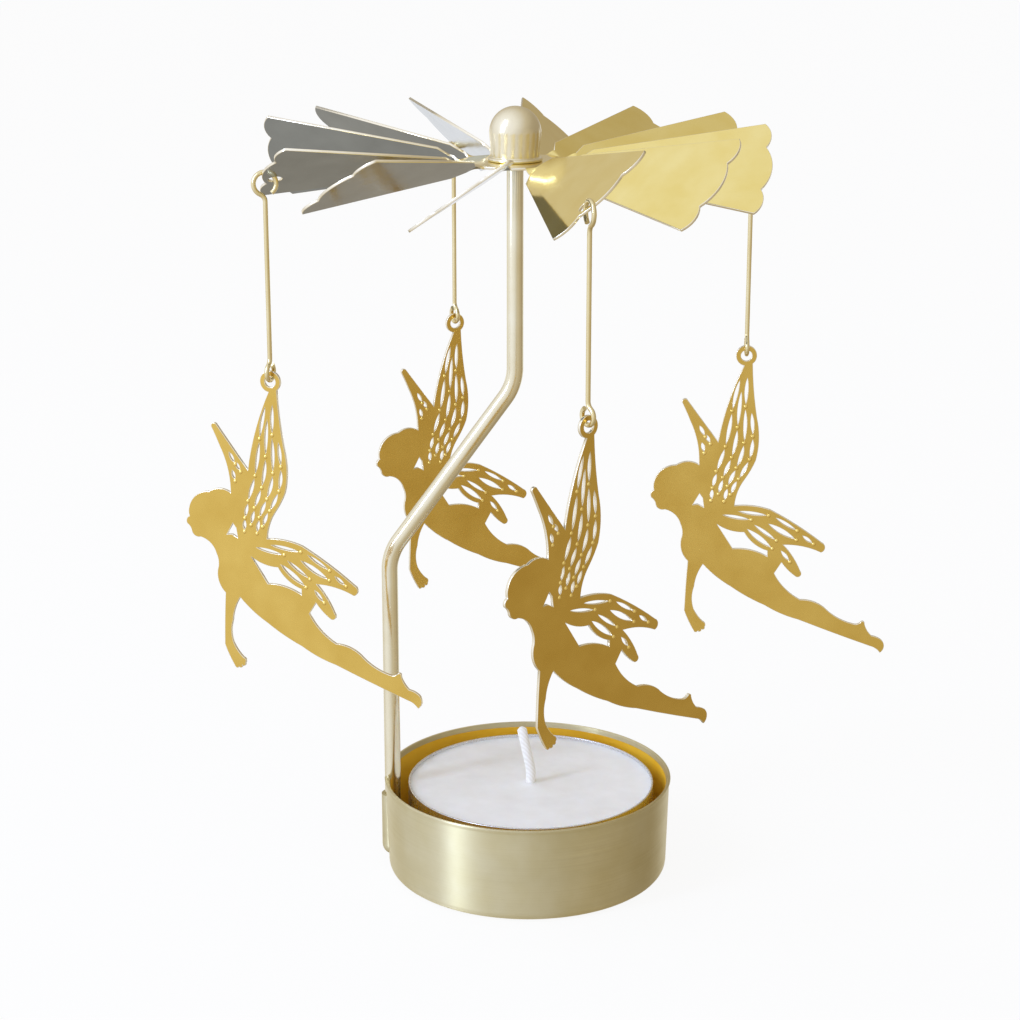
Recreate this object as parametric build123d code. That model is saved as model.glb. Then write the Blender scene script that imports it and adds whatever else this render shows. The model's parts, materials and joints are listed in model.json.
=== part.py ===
from build123d import *
import os
from math import atan2, cos, degrees, pi, radians, sin, sqrt, tan

# A tealight carousel: a drawn cup holds the candle and a bent rod, a twelve-vane wheel spins on the
# rod's point in the rising warm air, and four pierced sheet fairies hang from every third vane on
# wires. The origin is the centre of the cup's underside, +Z is up the spin axis, the rod stands on -X.

# Driving dimensions, in millimetres and degrees.

# Tealight, the standard size that the cup is made round.
TEALIGHT_DIA = 38.4
TEALIGHT_HEIGHT = 13.5
TEALIGHT_SHEET = 0.3
WAX_BELOW_RIM = 0.4
WICK_DIA = 1.5
WICK_ABOVE_WAX = 9.0
WICK_LEAN = 1.4
WICK_BEND = 4.0
SUSTAINER_DIA = 12.0
SUSTAINER_SHEET = 0.3
SUSTAINER_NECK = 4.0

# Candle cup.
CUP_SHEET = 0.5
CUP_CANDLE_GAP = 2.5
CUP_ABOVE_CANDLE = 1.0
CUP_TAPER = 0.4
CUP_CORNER = 1.4
LIP_FLARE = 0.3
LIP_HEIGHT = 0.7

# Stand rod and the pocket pressed out of the cup's wall that seats its foot.
ROD_DIA = 2.5
ROD_FOOT = 3.2
ROD_LOW_BEND = 51.0
ROD_HIGH_BEND = 77.5
ROD_BEND_RADIUS = 8.0
ROD_POINT_LENGTH = 3.4
ROD_POINT_DIA = 0.3
ROD_PROUD = 0.2
ROD_FIT = 0.03
ROD_CANDLE_GAP = 1.2
POCKET_BELOW_RIM = 3.3

# The bent rod brings the spin axis this far from the cup's centre, towards the rod's foot.
SPIN_OFFSET = 2.0

# Vane wheel: one stamped sheet, its vanes twisted at the necks and set by hand.
WHEEL_HEIGHT = 110.6
WHEEL_SHEET = 0.4
HUB_DIA = 16.0
VANE_COUNT = 12
VANE_FIRST_AZIMUTH = 18.0
VANE_TIP_RADIUS = 37.4
VANE_ANGLE = 27.4
VANE_ROOT_RADIUS = 9.6
VANE_SHOULDER = 1.6
NECK_WIDTH = 2.2
NECK_FLAT = 0.3
SCALLOP_DEPTH = 1.25
SCALLOP_SHARE = 0.47
CORNER_DROP = 1.8
SIDE_LOBE_DROP = 0.7
VANE_PITCH = 40.0
VANE_SETTING = (-1, -6, 1, 5, 5, 9, -11, -10, -5, 1, 1, 1)

# Hub cap, a turned dome clinched into the wheel, whose drilled bore runs on the rod's point.
CAP_DIA = 7.6
CAP_WAIST_DIA = 7.0
CAP_HEIGHT = 7.9
CAP_TOP = 1.0
CAP_BORE_DIA = 5.0
CAP_BORE_ANGLE = 118.0
CAP_FLANGE_DIA = 8.0
CAP_FLANGE = 0.55
CAP_SKIRT_DIA = 6.0
CAP_CLINCH_DIA = 7.2
CAP_CLINCH = 0.4
PIVOT_GAP = 0.06

# Hanger wires, drawn with a square section of the round wire's area.
WIRE_DIA = 0.7
HANG_EVERY = 3
HANG_HOLE_DIA = 2.0
HANG_HOLE_INSET = 2.2
HANG_HOLE_SIDE = 2.3
HANGER_LENGTH = 27.3
UPPER_EYE_RADIUS = 1.65
LOWER_EYE_RADIUS = 1.2
EYE_LEAD_RADIUS = 1.2
EYE_TAIL_ANGLE = 235.0
EYE_REST_GAP = 0.2

# Fairies: plan heading from head to feet of each, in the order of the hanging vanes.
FAIRY_NAMES = ("right", "back", "left", "front")
FAIRY_HEADINGS = (-2.0, 26.0, -18.5, 38.0)
FAIRY_SHEET = 0.5
FAIRY_EYE_DIA = 3.2
FAIRY_EYE_HOLE_DIA = 1.7
VEIN_SLOT = 0.5
WING_SLIT = 0.8

# Derived sizes.
tealight_r = TEALIGHT_DIA / 2
wax_height = TEALIGHT_HEIGHT - TEALIGHT_SHEET - WAX_BELOW_RIM
cup_rim_r = tealight_r + CUP_CANDLE_GAP + CUP_SHEET
cup_base_r = cup_rim_r - CUP_TAPER
cup_height = CUP_SHEET + TEALIGHT_HEIGHT + CUP_ABOVE_CANDLE
rod_r = ROD_DIA / 2
rod_x = -(cup_rim_r + ROD_PROUD - rod_r)
spin_x = -SPIN_OFFSET
tealight_x = rod_x + rod_r + ROD_CANDLE_GAP + tealight_r
tealight_origin = Pos(tealight_x, 0, CUP_SHEET)
cap_top = WHEEL_HEIGHT + WHEEL_SHEET / 2 + CAP_HEIGHT
drill_slope = tan(radians(CAP_BORE_ANGLE / 2))
pivot_z = cap_top - CAP_TOP - ROD_POINT_DIA / 2 / drill_slope - PIVOT_GAP
wire_r = WIRE_DIA / 2
wire_side = wire_r * sqrt(pi)
wire_reach = wire_side / sqrt(2)
hang_hole_r = VANE_TIP_RADIUS - HANG_HOLE_INSET
ON_BASE = (Align.CENTER, Align.CENTER, Align.MIN)


def revolved(face):
    """Full turn of a half profile drawn on the XZ plane."""
    return revolve(Plane.XZ * face, Axis.Z)


def bar_along(path, section):
    """Bar of one section along straight runs and arcs that lie in the XZ plane."""
    runs = []
    for edge in path.edges():
        start = Plane(edge @ 0, x_dir=(0, 1, 0), z_dir=edge % 0) * section
        if edge.geom_type == GeomType.LINE:
            runs.append(extrude(start, edge.length))
        else:
            centre = edge.arc_center
            axis = Axis(centre, (edge @ 0 - centre).cross(edge % 0))
            runs.append(revolve(start, axis, degrees(edge.length / edge.radius)))
    return runs[0].fuse(*runs[1:])


def corner(radius, floor, size):
    """Two-step rounding of a drawn corner, from the wall down to the floor."""
    step = size * (1 - cos(radians(45)))
    return [(radius, floor + size), (radius - step, floor + step), (radius - size, floor)]


def candle_cup():
    """Drawn cup with a tapered wall, a flared lip, and the rim notch and pocket for the rod's foot."""
    lip_z = cup_height - LIP_HEIGHT
    inner_base_r = cup_base_r - CUP_SHEET
    inner_rim_r = cup_rim_r - CUP_SHEET
    wall = [(inner_rim_r + LIP_FLARE, cup_height), (inner_rim_r, lip_z)]
    wall += corner(inner_base_r, CUP_SHEET, CUP_CORNER - CUP_SHEET)
    outside = corner(cup_base_r, 0, CUP_CORNER)[::-1]
    outside += [(cup_rim_r, lip_z), (cup_rim_r + LIP_FLARE, cup_height)]
    shell = revolved(make_face(Polyline((0, 0), *outside, *wall, (0, CUP_SHEET), close=True)))
    room = revolved(make_face(Polyline((0, cup_height), *wall, (0, CUP_SHEET), close=True)))
    seat_r = rod_r + ROD_FIT
    pocket_r = seat_r + CUP_SHEET
    pocket_top = cup_height - POCKET_BELOW_RIM
    pocket_base = Pos(rod_x, 0, ROD_FOOT)
    pocket = pocket_base * (Cylinder(pocket_r, pocket_top - ROD_FOOT, align=ON_BASE) + Sphere(pocket_r))
    seat = pocket_base * Cylinder(seat_r, cup_height, align=ON_BASE)
    notch_depth = cup_height - pocket_top
    notch = Pos(rod_x, 0, pocket_top) * Box(
        2 * pocket_r, 2 * seat_r, notch_depth, align=(Align.MAX, Align.CENTER, Align.MIN)
    )
    return shell + (pocket - room) - seat - notch


def stand_rod():
    """Round rod, bent twice so that its upper end stands on the spin axis, with a turned point."""
    point_z = pivot_z - ROD_POINT_LENGTH
    path = FilletPolyline(
        (rod_x, 0, ROD_FOOT),
        (rod_x, 0, ROD_LOW_BEND),
        (spin_x, 0, ROD_HIGH_BEND),
        (spin_x, 0, point_z),
        radius=ROD_BEND_RADIUS,
    )
    point = Pos(spin_x, 0, point_z) * Cone(rod_r, ROD_POINT_DIA / 2, ROD_POINT_LENGTH, align=ON_BASE)
    return bar_along(path, Circle(rod_r)) + point


def tealight_cup():
    """Thin pressed tealight cup."""
    shell = Cylinder(tealight_r, TEALIGHT_HEIGHT, align=ON_BASE)
    bore = Cylinder(tealight_r - TEALIGHT_SHEET, TEALIGHT_HEIGHT, align=ON_BASE)
    return tealight_origin * (shell - Pos(0, 0, TEALIGHT_SHEET) * bore)


def wick_sustainer():
    """Pressed disc and neck that hold the wick upright on the candle's floor."""
    disc = Cylinder(SUSTAINER_DIA / 2, SUSTAINER_SHEET, align=ON_BASE)
    neck = Cylinder(WICK_DIA / 2 + SUSTAINER_SHEET, SUSTAINER_NECK, align=ON_BASE)
    bore = Cylinder(WICK_DIA / 2, SUSTAINER_NECK, align=ON_BASE)
    return tealight_origin * Pos(0, 0, TEALIGHT_SHEET) * (disc + neck - bore)


def wick():
    """Cotton wick, upright in the wax and leaning over above it."""
    wax_z = TEALIGHT_SHEET + wax_height
    path = FilletPolyline(
        (0, 0, TEALIGHT_SHEET),
        (0, 0, wax_z + WICK_BEND / 2),
        (-WICK_LEAN, 0, wax_z + WICK_ABOVE_WAX),
        radius=WICK_BEND,
    )
    return tealight_origin * bar_along(path, Circle(WICK_DIA / 2))


def tealight_wax():
    """Wax filling of the tealight, cast round the wick and its sustainer."""
    fill = Pos(0, 0, TEALIGHT_SHEET) * Cylinder(tealight_r - TEALIGHT_SHEET, wax_height, align=ON_BASE)
    return tealight_origin * fill - wick_sustainer() - wick()


def vane_pitch(index):
    """Pitch of one vane, as set by hand."""
    return VANE_PITCH + VANE_SETTING[index % len(VANE_SETTING)]


def vane_blank(with_hole):
    """Flat outline of one vane along +X: neck end, radial sides and a tip of three scallops."""
    slope = VANE_ANGLE / 2
    shoulder_r = VANE_ROOT_RADIUS + VANE_SHOULDER
    corner_r = VANE_TIP_RADIUS - CORNER_DROP
    shoulder_y = shoulder_r * sin(radians(slope))
    corner_y = corner_r * sin(radians(slope))
    notch_y = corner_y * SCALLOP_SHARE
    notch_r = VANE_TIP_RADIUS - SCALLOP_DEPTH
    side_lobe = (VANE_TIP_RADIUS - SIDE_LOBE_DROP, (corner_y + notch_y) / 2)
    half_neck = NECK_WIDTH / 2
    upper = [
        Polyline((VANE_ROOT_RADIUS, half_neck), (shoulder_r, shoulder_y), (corner_r, corner_y)),
        ThreePointArc((corner_r, corner_y), side_lobe, (notch_r, notch_y)),
    ]
    tip = ThreePointArc((notch_r, notch_y), (VANE_TIP_RADIUS, 0), (notch_r, -notch_y))
    lower = [mirror(edge, about=Plane.XZ) for edge in upper]
    root = Line((VANE_ROOT_RADIUS, -half_neck), (VANE_ROOT_RADIUS, half_neck))
    outline = make_face(upper + [tip] + lower + [root])
    if with_hole:
        outline -= Pos(hang_hole_r, -HANG_HOLE_SIDE) * Circle(HANG_HOLE_DIA / 2)
    return extrude(outline, WHEEL_SHEET / 2, both=True)


def neck_corners(radius, pitch):
    """Corners of a neck's section at one radius, turned to a pitch."""
    turn = Rot(pitch, 0, 0)
    half_w, half_t = NECK_WIDTH / 2, WHEEL_SHEET / 2
    flat = [(half_w, half_t), (-half_w, half_t), (-half_w, -half_t), (half_w, -half_t)]
    return [(turn * Pos(radius, y, z)).position for y, z in flat]


def vane_neck(pitch):
    """Neck of a vane: flat where it leaves the hub, then twisted to the pitch in two creased steps."""
    hub_r = HUB_DIA / 2
    twist_r = hub_r + NECK_FLAT
    middle_r = (twist_r + VANE_ROOT_RADIUS) / 2
    tab = Pos(hub_r, 0, 0) * Box(2 * NECK_FLAT, NECK_WIDTH, WHEEL_SHEET)
    rings = [
        neck_corners(twist_r, 0),
        neck_corners(middle_r, pitch / 2),
        neck_corners(VANE_ROOT_RADIUS, pitch),
    ]
    faces = [Face(Wire.make_polygon(ring)) for ring in (rings[0], rings[-1])]
    for ring, following in zip(rings, rings[1:]):
        for place in range(len(ring)):
            before, after = following[place - 1], following[place]
            faces.append(Face(Wire.make_polygon((ring[place - 1], ring[place], after))))
            faces.append(Face(Wire.make_polygon((ring[place - 1], after, before))))
    return tab + Solid(Shell(faces))


def vane_wheel():
    """Stamped wheel: hub disc with the cap's hole, twisted necks and scalloped vanes."""
    hub = Cylinder(HUB_DIA / 2, WHEEL_SHEET) - Cylinder(CAP_SKIRT_DIA / 2, WHEEL_SHEET)
    pieces = []
    for index in range(VANE_COUNT):
        pitch = vane_pitch(index)
        turn = Rot(0, 0, VANE_FIRST_AZIMUTH + index * 360 / VANE_COUNT)
        blank = vane_blank(index % HANG_EVERY == 0)
        pieces.append(turn * Rot(pitch, 0, 0) * blank)
        pieces.append(turn * vane_neck(pitch))
    return Pos(spin_x, 0, WHEEL_HEIGHT) * hub.fuse(*pieces)


def hub_cap():
    """Turned dome with a flange on the hub, a skirt clinched below it and a drilled pivot bore."""
    half = WHEEL_SHEET / 2
    flange_z = half + CAP_FLANGE
    dome_r = CAP_DIA / 2
    top = half + CAP_HEIGHT
    dome_z = top - dome_r
    skirt_r = CAP_SKIRT_DIA / 2
    bore_r = CAP_BORE_DIA / 2
    clinch_z = -half - CAP_CLINCH
    profile = [
        Polyline(
            (0, top),
            (0, top - CAP_TOP),
            (bore_r, top - CAP_TOP - bore_r / drill_slope),
            (bore_r, clinch_z),
            (CAP_CLINCH_DIA / 2, clinch_z),
            (CAP_CLINCH_DIA / 2, -half),
            (skirt_r, -half),
            (skirt_r, half),
            (CAP_FLANGE_DIA / 2, half),
            (CAP_FLANGE_DIA / 2, flange_z),
            (CAP_WAIST_DIA / 2, flange_z),
            (dome_r, dome_z),
        ),
        RadiusArc((dome_r, dome_z), (0, top), -dome_r),
    ]
    return Pos(spin_x, 0, WHEEL_HEIGHT) * revolved(make_face(profile))


def eye_rise(loop):
    """Distance from a wire eye's centre to the end of the straight wire."""
    return sqrt(loop**2 + 2 * loop * EYE_LEAD_RADIUS)


def wire_eye(loop):
    """Wire eye round the origin in the XZ plane, whose straight wire leaves downwards on the Z axis."""
    rise = eye_rise(loop)
    join = degrees(atan2(-rise, EYE_LEAD_RADIUS))
    turn = CenterArc((0, 0), loop, EYE_TAIL_ANGLE, join - EYE_TAIL_ANGLE)
    lead = CenterArc((EYE_LEAD_RADIUS, -rise), EYE_LEAD_RADIUS, join + 180, -join)
    return bar_along(Wire([Plane.XZ * turn, Plane.XZ * lead]), Rectangle(wire_side, wire_side))


def hanger_centre(index):
    """Centre of the upper eye of the hanger on one vane, resting on the strip outside the hole."""
    pitch = radians(vane_pitch(index))
    azimuth = radians(VANE_FIRST_AZIMUTH + index * 360 / VANE_COUNT)
    drop = UPPER_EYE_RADIUS - EYE_REST_GAP - (wire_reach + WHEEL_SHEET / 2) / cos(pitch)
    radial = hang_hole_r + sqrt(UPPER_EYE_RADIUS**2 - drop**2)
    across = -HANG_HOLE_SIDE * cos(pitch)
    x = spin_x + radial * cos(azimuth) - across * sin(azimuth)
    y = radial * sin(azimuth) + across * cos(azimuth)
    return Vector(x, y, WHEEL_HEIGHT - HANG_HOLE_SIDE * sin(pitch) - drop)


def fairy_eye(index):
    """Centre of the eye hole of the fairy that hangs from one vane."""
    wire_in_hole = FAIRY_EYE_HOLE_DIA / 2 - wire_reach - EYE_REST_GAP
    return hanger_centre(index) - Vector(0, 0, HANGER_LENGTH + LOWER_EYE_RADIUS + wire_in_hole)


def hanger_wire(index, heading):
    """Hanger: upper eye through the vane, straight wire, lower eye square to the fairy's sheet."""
    azimuth = VANE_FIRST_AZIMUTH + index * 360 / VANE_COUNT
    upper_end = eye_rise(UPPER_EYE_RADIUS)
    lower_end = HANGER_LENGTH - eye_rise(LOWER_EYE_RADIUS)
    run = Line((0, 0, -upper_end), (0, 0, -lower_end))
    straight = Rot(0, 0, azimuth) * bar_along(run, Rectangle(wire_side, wire_side))
    upper = Rot(0, 0, azimuth) * wire_eye(UPPER_EYE_RADIUS)
    lower = Pos(0, 0, -HANGER_LENGTH) * Rot(0, 0, heading - 90) * Rot(180, 0, 0) * wire_eye(LOWER_EYE_RADIUS)
    centre = hanger_centre(index)
    return Pos(centre.X, centre.Y, centre.Z) * (straight + upper + lower)


# Fairy outline: U runs from head to feet and V up, from the centre of the eye that it hangs by. Each
# stretch is a chain of arcs through three points, the last point of one being the first of the next.
BIG_WING_BACK = (
    (1.0, -1.2),
    (1.3, -5.5),
    (1.9, -9.8),
    (2.3, -13.6),
    (1.9, -16.6),
    (1.2, -18.1),
    (0.3, -19.6),
    (-0.7, -21.5),
    (-1.2, -23.9),
)
LOWER_WING_TOP = ((-1.2, -23.9), (1.7, -23.9), (4.4, -24.5), (8.5, -26.9), (12.6, -29.8))
LOWER_WING_TIP = ((12.6, -29.8), (13.1, -30.8), (12.5, -31.4))
LOWER_WING_UNDER = ((12.5, -31.4), (9.9, -30.5), (6.6, -30.2))
LOBE_TOP = ((6.6, -30.2), (8.2, -32.2), (9.4, -34.5))
LOBE_TIP = ((9.4, -34.5), (9.4, -35.3), (8.7, -35.4))
LOBE_UNDER = ((8.7, -35.4), (7.5, -34.4), (6.4, -33.1))
BACK_OF_LEG = (
    (5.3, -34.9),
    (7.2, -37.5),
    (9.5, -39.2),
    (11.6, -39.5),
    (13.4, -40.5),
    (15.6, -42.2),
    (18.3, -43.2),
)
HEEL = ((18.3, -43.2), (18.8, -43.1), (19.2, -42.8), (19.6, -42.7), (19.8, -43.1))
SOLE = ((19.8, -43.1), (20.2, -44.1), (21.0, -45.1))
TOES = ((21.0, -45.1), (21.8, -45.3), (22.5, -45.7), (23.0, -46.6), (22.4, -47.9))
INSTEP = ((22.4, -47.9), (21.7, -47.2), (20.8, -46.8))
FRONT_OF_LEG = (
    (20.8, -46.8),
    (16.1, -45.1),
    (9.3, -42.5),
    (6.9, -41.7),
    (4.0, -40.2),
    (1.0, -38.7),
    (-1.5, -37.1),
    (-4.4, -35.0),
    (-5.9, -33.5),
)
ARM_INSIDE = ((-5.9, -33.5), (-6.8, -35.3), (-7.2, -37.2), (-7.5, -39.2), (-7.2, -40.9))
HAND = ((-7.2, -40.9), (-6.5, -42.1), (-5.7, -43.0), (-5.3, -43.4), (-5.4, -43.9))
FINGERS = (
    (-5.4, -43.9),
    (-5.5, -44.3),
    (-5.9, -44.3),
    (-6.1, -44.7),
    (-6.5, -44.6),
    (-6.8, -44.8),
    (-7.1, -44.6),
)
ARM_OUTSIDE = ((-7.1, -44.6), (-8.0, -42.9), (-8.7, -41.2), (-8.6, -38.0), (-8.3, -33.0))
CHEST = ((-8.3, -33.0), (-9.4, -31.1), (-9.3, -28.9), (-9.3, -27.9), (-9.6, -26.9))
JAW = ((-9.6, -26.9), (-10.4, -25.5), (-12.1, -24.6))
CHIN = ((-12.1, -24.6), (-13.0, -24.5), (-13.5, -23.8))
NOSE = ((-13.5, -23.8), (-13.7, -23.2), (-14.2, -22.7), (-14.3, -22.1), (-13.8, -21.5))
FRINGE = ((-13.8, -21.5), (-13.9, -20.7), (-13.8, -20.1), (-13.2, -18.8), (-12.0, -17.8))
HAIR = ((-12.0, -17.8), (-11.2, -17.5), (-10.4, -17.4), (-8.6, -16.8), (-6.9, -17.3))
SMALL_WING_FRONT = ((-6.9, -17.3), (-7.3, -13.4), (-8.4, -10.3), (-9.0, -8.9), (-9.6, -7.6))
SMALL_WING_TIP = ((-9.6, -7.6), (-9.5, -6.9), (-8.8, -7.1))
SMALL_WING_BACK = ((-8.8, -7.1), (-6.6, -10.1), (-4.0, -13.6))
BIG_WING_FRONT = ((-4.0, -13.6), (-2.6, -7.5), (-0.2, -1.3))

# The big wing's front edge goes on across the small wing's root, for the veins between its edges.
BIG_WING_ROOT = ((-0.2, -1.3), (-2.6, -7.5), (-4.2, -14.4), (-5.3, -18.0), (-5.8, -23.6))

# Openings cut through the sheet: the gap at the neck, and the gap under the wing as a chain of arcs.
NECK_GAP = ((-6.7, -22.0), (-6.2, -22.7), (-6.0, -24.2), (-6.9, -23.7), (-7.7, -23.8))
WING_GAP_TOP = ((-3.9, -26.9), (-1.9, -27.9), (0.4, -28.2), (1.9, -30.0), (4.1, -31.2))
WING_GAP_UNDER = ((4.1, -32.1), (1.6, -31.1), (-1.3, -30.9))

# Slits and veins of the lower wing, from end to end.
LOWER_SLITS = (((0.9, -27.7), (4.6, -30.6)), ((4.2, -26.8), (8.3, -29.2)))
LOWER_VEINS = (
    ((-0.6, -24.8), (3.8, -25.4)),
    ((-3.0, -25.4), (1.1, -26.1)),
    ((2.0, -27.0), (5.2, -29.3)),
    ((5.3, -25.8), (8.4, -27.7)),
    ((6.3, -31.2), (7.5, -32.7)),
    ((9.6, -28.7), (11.0, -29.8)),
)

# Veins of the upper wings: start and end as shares of the way from tip to root, and place across.
BIG_WING_VEIN_SHARES = (
    (0.12, 0.32, 0.20),
    (0.36, 0.57, 0.20),
    (0.61, 0.75, 0.20),
    (0.79, 0.87, 0.22),
    (0.90, 0.96, 0.22),
    (0.20, 0.43, 0.42),
    (0.47, 0.64, 0.42),
    (0.68, 0.79, 0.42),
    (0.83, 0.91, 0.44),
    (0.10, 0.28, 0.64),
    (0.32, 0.53, 0.63),
    (0.57, 0.71, 0.63),
    (0.75, 0.85, 0.64),
    (0.89, 0.96, 0.66),
    (0.34, 0.48, 0.84),
    (0.52, 0.64, 0.84),
    (0.68, 0.79, 0.84),
    (0.83, 0.91, 0.82),
)
SMALL_WING_VEIN_SHARES = ((0.50, 0.68, 0.60), (0.74, 0.88, 0.30), (0.72, 0.86, 0.70))


def lens(start, middle, end, width):
    """Slim opening with pointed ends, widest at its middle."""
    along = (end - start).normalized()
    side = Vector(-along.Y, along.X) * (width / 2)
    return make_face(Polyline(start, middle + side, end, middle - side, close=True))


def straight_lens(ends, width):
    """Slim opening between two points."""
    start, end = Vector(*ends[0]), Vector(*ends[1])
    return lens(start, (start + end) / 2, end, width)


def wing_veins(front, back, shares):
    """Openings between the two edges of a wing, which both run from its tip to its root."""
    veins = []
    for start, end, across in shares:
        stops = (start, (start + end) / 2, end)
        points = [(front @ stop) * (1 - across) + (back @ stop) * across for stop in stops]
        veins.append(lens(*points, VEIN_SLOT))
    return veins


def arc_chain(points):
    """Arcs through each three points of a stretch of outline."""
    return [ThreePointArc(*points[first : first + 3]) for first in range(0, len(points) - 2, 2)]


def closed_face(strokes):
    """Face inside stretches of arcs, with a straight line wherever one doesn't meet the next."""
    edges = [arc for points in strokes for arc in arc_chain(points)]
    for current, following in zip(strokes, strokes[1:] + strokes[:1]):
        if current[-1] != following[0]:
            edges.append(Line(current[-1], following[0]))
    return make_face(edges)


def fairy_sheet():
    """Flat pierced silhouette of a winged figure in the XY plane, hung by the eye at the origin."""
    strokes = (
        BIG_WING_BACK,
        LOWER_WING_TOP,
        LOWER_WING_TIP,
        LOWER_WING_UNDER,
        LOBE_TOP,
        LOBE_TIP,
        LOBE_UNDER,
        BACK_OF_LEG,
        HEEL,
        SOLE,
        TOES,
        INSTEP,
        FRONT_OF_LEG,
        ARM_INSIDE,
        HAND,
        FINGERS,
        ARM_OUTSIDE,
        CHEST,
        JAW,
        CHIN,
        NOSE,
        FRINGE,
        HAIR,
        SMALL_WING_FRONT,
        SMALL_WING_TIP,
        SMALL_WING_BACK,
        BIG_WING_FRONT,
    )
    figure = closed_face(strokes) + Circle(FAIRY_EYE_DIA / 2) - Circle(FAIRY_EYE_HOLE_DIA / 2)
    cuts = [make_face(Polyline(*NECK_GAP, close=True)), closed_face((WING_GAP_TOP, WING_GAP_UNDER))]
    cuts += [straight_lens(ends, WING_SLIT) for ends in LOWER_SLITS]
    cuts += [straight_lens(ends, VEIN_SLOT) for ends in LOWER_VEINS]
    cuts += wing_veins(Spline(*BIG_WING_ROOT), Spline(*BIG_WING_BACK), BIG_WING_VEIN_SHARES)
    small_wing_front = Spline(*reversed(SMALL_WING_FRONT))
    cuts += wing_veins(small_wing_front, Spline(*SMALL_WING_BACK), SMALL_WING_VEIN_SHARES)
    return extrude(figure.cut(*cuts), FAIRY_SHEET / 2, both=True)


def fairy(index, heading):
    """Fairy sheet hung upright at its hanger, turned to its heading."""
    along = Vector(cos(radians(heading)), sin(radians(heading)), 0)
    square = Vector(along.Y, -along.X, 0)
    return Plane(fairy_eye(index), x_dir=along, z_dir=square) * fairy_sheet()


nodes = {
    "candle_cup": candle_cup(),
    "stand_rod": stand_rod(),
    "tealight_cup": tealight_cup(),
    "tealight_wax": tealight_wax(),
    "wick": wick(),
    "wick_sustainer": wick_sustainer(),
    "vane_wheel": vane_wheel(),
    "hub_cap": hub_cap(),
}
for place, (name, heading) in enumerate(zip(FAIRY_NAMES, FAIRY_HEADINGS)):
    nodes["hanger_" + name] = hanger_wire(place * HANG_EVERY, heading)
    nodes["fairy_" + name] = fairy(place * HANG_EVERY, heading)

os.makedirs("parts", exist_ok=True)
for name, solid in nodes.items():
    export_step(solid, os.path.join("parts", name + ".step"))
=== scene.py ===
"""Looks of a tealight carousel: bevelled gold sheet, polished rod and wire, wax and a soft studio."""
import json
from math import atan2, cos, degrees, pi, radians, sin, sqrt, tan

import bmesh
import bpy
from mathutils import Matrix, Vector
from mathutils.geometry import delaunay_2d_cdt

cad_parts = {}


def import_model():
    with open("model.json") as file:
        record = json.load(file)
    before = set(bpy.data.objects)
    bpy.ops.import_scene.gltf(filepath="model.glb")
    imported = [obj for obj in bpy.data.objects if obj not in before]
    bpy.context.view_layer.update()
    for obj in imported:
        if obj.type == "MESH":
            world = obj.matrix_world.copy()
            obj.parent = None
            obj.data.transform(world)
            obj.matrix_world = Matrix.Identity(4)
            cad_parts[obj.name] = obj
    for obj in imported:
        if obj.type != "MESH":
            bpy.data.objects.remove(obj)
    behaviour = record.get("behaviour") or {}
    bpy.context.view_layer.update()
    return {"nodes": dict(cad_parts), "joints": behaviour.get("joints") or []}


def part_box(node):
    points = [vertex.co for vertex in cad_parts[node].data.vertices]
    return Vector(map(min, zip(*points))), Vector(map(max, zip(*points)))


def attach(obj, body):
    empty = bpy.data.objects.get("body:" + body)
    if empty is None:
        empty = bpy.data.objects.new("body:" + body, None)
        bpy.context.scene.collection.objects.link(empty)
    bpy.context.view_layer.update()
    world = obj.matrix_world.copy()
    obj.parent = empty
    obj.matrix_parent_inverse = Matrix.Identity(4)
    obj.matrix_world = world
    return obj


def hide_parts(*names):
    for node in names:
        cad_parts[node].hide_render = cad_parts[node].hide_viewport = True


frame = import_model()
scene = bpy.context.scene
joints = {joint["name"]: joint for joint in frame["joints"]}
MM = 0.001

# Sizes of the object in millimetres and degrees. A share is a part of another size.
TEALIGHT_DIA = 38.4
TEALIGHT_HEIGHT = 13.5
TEALIGHT_SHEET = 0.3
TEALIGHT_BASE_CORNER = 1.2
WAX_BELOW_RIM = 0.4
WAX_RISE_SHARE = 0.6
WAX_FOIL_CLIMB = 0.5
WAX_WICK_CLIMB = 0.7
WICK_DIA = 1.5
WICK_BEND_HEIGHT = 2
WICK_BEND_RADIUS = 4
WICK_END_SHARE = 0.3
WICK_END_STEPS = (0.12, 0.2, 0.26)
WICK_END_ROUND = 3.6
CUP_SHEET = 0.5
CUP_RIM_RADIUS = 22.2
CUP_BASE_RADIUS = 21.8
CUP_HEIGHT = 15.0
CUP_CORNER = 1.4
LIP_FLARE = 0.3
LIP_HEIGHT = 0.7
ROD_DIA = 2.5
ROD_X = -21.15
ROD_FOOT = 3.2
ROD_LOW_BEND = 51.0
ROD_HIGH_BEND = 77.5
ROD_BEND_RADIUS = 8.0
ROD_POINT_LENGTH = 3.4
ROD_POINT_DIA = 0.3
ROD_FIT = 0.03
POCKET_BELOW_RIM = 3.3
WHEEL_HEIGHT = 110.6
WHEEL_SHEET = 0.4
HUB_DIA = 16.0
VANE_COUNT = 12
VANE_FIRST_AZIMUTH = 18.0
VANE_TIP_RADIUS = 37.4
VANE_ANGLE = 27.4
VANE_ROOT_RADIUS = 9.6
VANE_SHOULDER = 1.6
NECK_WIDTH = 2.2
SCALLOP_DEPTH = 1.25
SCALLOP_SHARE = 0.47
CORNER_DROP = 1.8
SIDE_LOBE_DROP = 0.7
VANE_PITCH = 40.0
VANE_SETTING = (-1, -6, 1, 5, 5, 9, -11, -10, -5, 1, 1, 1)
CAP_DIA = 7.6
CAP_WAIST_DIA = 7.0
CAP_HEIGHT = 7.9
CAP_TOP = 1.0
CAP_BORE_DIA = 5.0
CAP_BORE_CONE = 0.6
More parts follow.
